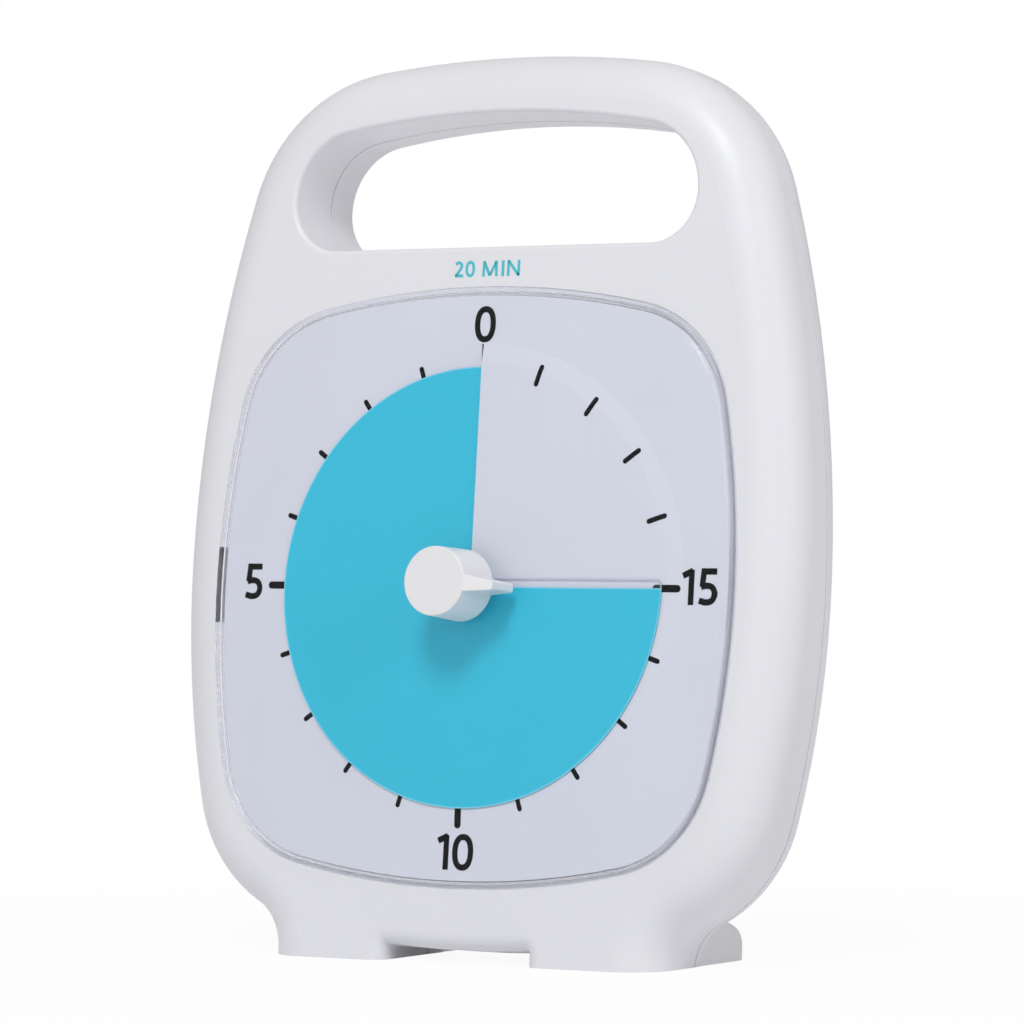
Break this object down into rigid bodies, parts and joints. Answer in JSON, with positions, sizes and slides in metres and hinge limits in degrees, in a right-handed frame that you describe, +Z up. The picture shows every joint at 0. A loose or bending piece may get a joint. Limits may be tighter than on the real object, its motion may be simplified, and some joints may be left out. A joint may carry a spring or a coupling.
{
  "type": "visual countdown timer",
  "caption": "Free-standing countdown timer with a bowed square clear window, a coloured film that sweeps round the dial, a setting knob and a carrying handle.",
  "frame": {"origin": "middle of the footprint, on the surface that the feet stand on", "axes": "+Z up, the dial faces -Y and leans back, +X to the viewer's right"},
  "size_m": [0.1406, 0.0464, 0.1782],
  "materials": {
    "white_housing": "fine satin moulded white plastic",
    "clear_lens": "clear polished plastic",
    "dial_white": "smooth matt white sheet with black printing",
    "inner_white": "plain white plastic",
    "blue_film": "thin smooth coloured film",
    "clear_film": "thin clear film",
    "steel": "bright machined steel",
    "knob_white": "smooth white plastic",
    "gear_plastic": "natural acetal",
    "black_plastic": "black moulded plastic",
    "brass": "bright brass",
    "board_green": "green circuit board",
    "copper": "enamelled copper winding",
    "battery_wrap": "plain grey cell sleeve",
    "nickel": "nickel-plated spring steel"
  },
  "bodies": {
    "root": {"front_housing": "white_housing", "rear_housing": "white_housing", "clear_lens": "clear_lens", "dial_plate": "dial_white", "dial_carrier": "inner_white", "movement_case_front": "black_plastic", "movement_case_rear": "black_plastic", "movement_screws": "steel", "volume_pot": "black_plastic", "buzzer": "brass", "circuit_board": "board_green", "timer_chip": "black_plastic", "quartz_crystal": "steel", "coil": "copper", "stator": "steel", "aa_battery": "battery_wrap", "battery_plate": "nickel", "battery_spring": "nickel", "case_screws": "steel"},
    "knob": {"setting_knob": "knob_white", "output_arbor": "steel"},
    "film": {"colour_film": "blue_film", "film_lead_strip": "clear_film", "film_hub": "inner_white"},
    "output_wheel": {"output_wheel": "gear_plastic"},
    "third_wheel": {"third_wheel": "gear_plastic"},
    "rotor": {"rotor": "gear_plastic"},
    "volume_wheel": {"volume_wheel": "knob_white"},
    "battery_door": {"battery_door": "white_housing"}
  },
  "joints": [
    {"name": "knob_turn", "type": "hinge", "parent": "root", "child": "knob", "pos_m": [0, -0.00874, 0.0733], "axis": [0, -0.9949, 0.1011], "range_deg": [-270, 90]},
    {"name": "film_climb", "type": "slide", "parent": "knob", "child": "film", "axis": [0, -0.9949, 0.1011], "range_m": [-0.000601, 0.000201]},
    {"name": "output_wheel_turn", "type": "hinge", "parent": "root", "child": "output_wheel", "pos_m": [0, -0.00178, 0.07259], "axis": [0, -0.9949, 0.1011], "continuous": true},
    {"name": "third_wheel_turn", "type": "hinge", "parent": "root", "child": "third_wheel", "pos_m": [0, -0.00217, 0.05886], "axis": [0, -0.9949, 0.1011], "continuous": true},
    {"name": "rotor_turn", "type": "hinge", "parent": "root", "child": "rotor", "pos_m": [0.01104, 0.00041, 0.0645], "axis": [0, -0.9949, 0.1011], "continuous": true},
    {"name": "volume_turn", "type": "hinge", "parent": "root", "child": "volume_wheel", "pos_m": [-0.046, 0.01602, 0.08309], "axis": [0, 0.9974, -0.0724], "range_deg": [0, 270]},
    {"name": "battery_door_off", "type": "slide", "parent": "root", "child": "battery_door", "axis": [0, 0.9974, -0.0724], "range_m": [0, 0.03]}
  ],
  "couplings": [
    {"joint": "film_climb", "follows": "knob_turn", "m_per_rad": 0.00012732},
    {"joint": "third_wheel_turn", "follows": "output_wheel_turn", "ratio": -7.5},
    {"joint": "rotor_turn", "follows": "output_wheel_turn", "ratio": 50.625}
  ]
}
